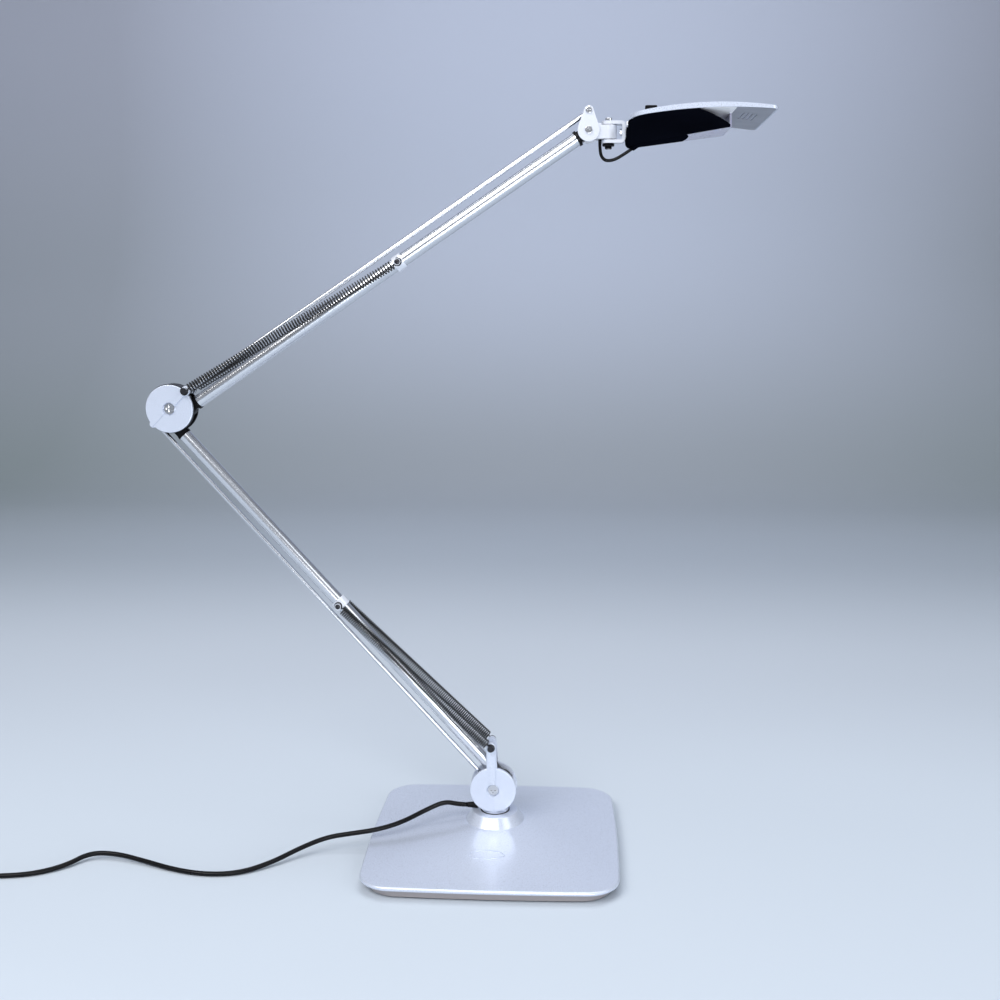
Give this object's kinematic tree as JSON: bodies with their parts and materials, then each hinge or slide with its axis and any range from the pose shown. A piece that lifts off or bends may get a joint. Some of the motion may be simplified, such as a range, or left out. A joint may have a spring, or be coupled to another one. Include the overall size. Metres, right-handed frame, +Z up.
{
  "type": "desk lamp",
  "caption": "Spring-balanced desk lamp: square weighted base, parallel-link arms with tension springs, and a flat head that tilts and pans.",
  "frame": {"origin": "centre of the foam pad's underside, on the surface that the lamp stands on", "axes": "+X from the base towards the lamp head, +Y away from the viewer of the picture, +Z up"},
  "size_m": [0.8243, 0.286, 0.684],
  "materials": {
    "silver_plastic": "silver painted, satin gloss",
    "tray_plastic": "light grey moulded",
    "foam_pad": "black foam sheet",
    "ballast_steel": "plain steel slab",
    "zinc_steel": "zinc plated",
    "bearing_plastic": "black acetal",
    "bright_steel": "bright plated",
    "dark_steel": "black plated",
    "satin_tube": "silver painted tube",
    "black_plastic": "black satin moulding",
    "black_spring": "black oiled spring wire",
    "cord_black": "black PVC flex",
    "plug_black": "black PVC",
    "silver_plate": "satin silver",
    "reflector_white": "white",
    "diffuser_lavender": "translucent lavender",
    "vent_grey": "grey moulded",
    "lamp_glass": "white phosphor glass",
    "gear_plastic": "black encapsulated"
  },
  "bodies": {
    "base": {"base_cover": "silver_plastic", "base_tray": "tray_plastic", "anti_slip_pad": "foam_pad", "ballast_plate": "ballast_steel", "base_screws": "zinc_steel", "swivel_collar": "silver_plastic", "swivel_bush": "bearing_plastic", "power_cord": "cord_black", "power_cord_coil": "cord_black", "power_plug": "plug_black"},
    "lower_joint": {"lower_joint_core": "silver_plastic", "swivel_nut": "zinc_steel", "lower_front_disc": "silver_plastic", "lower_rear_disc": "silver_plastic", "lower_joint_bolt": "bright_steel", "lower_arm_pivot_pin": "bright_steel", "lower_spring_posts": "dark_steel", "cord_gland": "black_plastic"},
    "lower_arm": {"lower_arm_tube": "satin_tube", "lower_arm_bottom_end": "black_plastic", "lower_arm_top_end": "black_plastic", "lower_spring_collar": "silver_plate", "lower_spring_front": "black_spring", "lower_spring_rear": "black_spring", "lower_arm_wire": "cord_black"},
    "lower_link": {"lower_link_rod": "satin_tube"},
    "elbow": {"elbow_core": "black_plastic", "elbow_front_disc": "silver_plastic", "elbow_rear_disc": "silver_plastic", "elbow_screws": "bright_steel", "elbow_pivot_pins": "bright_steel", "upper_spring_pin": "dark_steel"},
    "upper_arm": {"upper_arm_tube": "satin_tube", "upper_arm_bottom_end": "black_plastic", "upper_arm_end_cap": "black_plastic", "upper_spring_collar": "silver_plate", "upper_spring_front": "black_spring", "upper_spring_rear": "black_spring", "upper_arm_wire": "cord_black"},
    "upper_link": {"upper_link_rod": "satin_tube"},
    "bracket": {"bracket_front_plate": "silver_plate", "bracket_rear_plate": "silver_plate", "bracket_screws": "bright_steel"},
    "pan_block": {"pan_block": "silver_plate", "pan_washers": "zinc_steel", "head_cable": "cord_black"},
    "head": {"head_yoke": "silver_plate", "pan_bolt": "bright_steel", "head_stem": "bright_steel", "head_shell": "silver_plastic", "head_housing": "black_plastic", "reflector": "reflector_white", "diffuser": "diffuser_lavender", "vent_panel": "vent_grey", "lamp_tube": "lamp_glass", "lampholder": "black_plastic", "control_gear": "gear_plastic", "head_screws": "zinc_steel"},
    "knob": {"pan_knob": "black_plastic"},
    "switch": {"switch_button": "black_plastic"}
  },
  "joints": [
    {"name": "base_swivel", "type": "hinge", "parent": "base", "child": "lower_joint", "pos_m": [0, 0.01, 0.0324], "axis": [0, 0, 1], "range_deg": [-120, 120], "deforming": ["power_cord"]},
    {"name": "lower_arm_lift", "type": "hinge", "parent": "lower_joint", "child": "lower_arm", "pos_m": [0.00772, 0.01, 0.06349], "axis": [0, 1, 0], "range_deg": [-22, 38], "deforming": ["lower_spring_front", "lower_spring_rear"]},
    {"name": "lower_link", "type": "hinge", "parent": "lower_joint", "child": "lower_link", "pos_m": [-0.0015, 0.01, 0.0552], "axis": [0, 1, 0], "range_deg": [-23, 39]},
    {"name": "elbow_level", "type": "hinge", "parent": "lower_arm", "child": "elbow", "pos_m": [-0.30609, 0.01, 0.41238], "axis": [0, 1, 0], "range_deg": [-39, 23]},
    {"name": "upper_arm_lift", "type": "hinge", "parent": "elbow", "child": "upper_arm", "pos_m": [-0.28399, 0.01, 0.41813], "axis": [0, 1, 0], "range_deg": [-15, 55], "deforming": ["upper_spring_front", "upper_spring_rear"]},
    {"name": "upper_link", "type": "hinge", "parent": "elbow", "child": "upper_link", "pos_m": [-0.28399, 0.01, 0.43463], "axis": [0, 1, 0], "range_deg": [-16, 56]},
    {"name": "head_level", "type": "hinge", "parent": "upper_arm", "child": "bracket", "pos_m": [0.0826, 0.01, 0.66336], "axis": [0, 1, 0], "range_deg": [-56, 16]},
    {"name": "head_tilt", "type": "hinge", "parent": "bracket", "child": "pan_block", "pos_m": [0.0826, 0.01, 0.66336], "axis": [0, 1, 0], "range_deg": [-15, 45]},
    {"name": "head_pan", "type": "hinge", "parent": "pan_block", "child": "head", "pos_m": [0.1001, 0.01, 0.66195], "axis": [0, 0, 1], "range_deg": [-90, 90], "deforming": ["head_cable"]},
    {"name": "knob_turn", "type": "hinge", "parent": "head", "child": "knob", "pos_m": [0.1001, 0.01, 0.66195], "axis": [0, 0, 1], "continuous": true},
    {"name": "switch_press", "type": "slide", "parent": "head", "child": "switch", "axis": [0, 0, -1], "range_m": [0, 0.0012], "stiffness_N_per_m": 300, "springref_m": -0.001}
  ],
  "couplings": [
    {"joint": "lower_link", "follows": "lower_arm_lift", "ratio": 1},
    {"joint": "elbow_level", "follows": "lower_arm_lift", "ratio": -1},
    {"joint": "upper_link", "follows": "upper_arm_lift", "ratio": 1},
    {"joint": "head_level", "follows": "upper_arm_lift", "ratio": -1}
  ]
}
